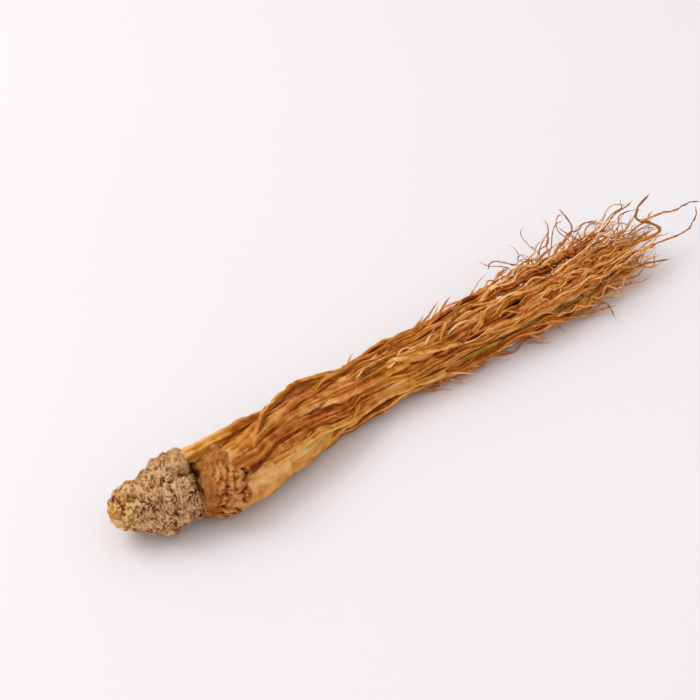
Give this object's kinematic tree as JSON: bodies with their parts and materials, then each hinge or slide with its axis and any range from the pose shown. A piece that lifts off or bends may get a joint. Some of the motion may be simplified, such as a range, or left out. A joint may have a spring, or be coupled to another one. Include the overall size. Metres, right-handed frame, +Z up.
{
  "type": "dried angelica root",
  "caption": "Whole dried root lying on its side: a ringed crown, a grooved neck, a lumpy collar, and a bundle of long lateral roots that fray into rootlets and hairs",
  "frame": {"origin": "middle of the root's box in plan, on the plane that the root rests on", "axes": "+X along the root from crown to hairs, +Y sideways, +Z up"},
  "size_m": [0.2524, 0.042, 0.0244],
  "materials": {
    "bark": "matte dried bark, grey-brown and corky on the crown, orange-brown on the collar and the lateral roots"
  },
  "bodies": {
    "root": {"angelica_root": "bark"}
  },
  "joints": []
}
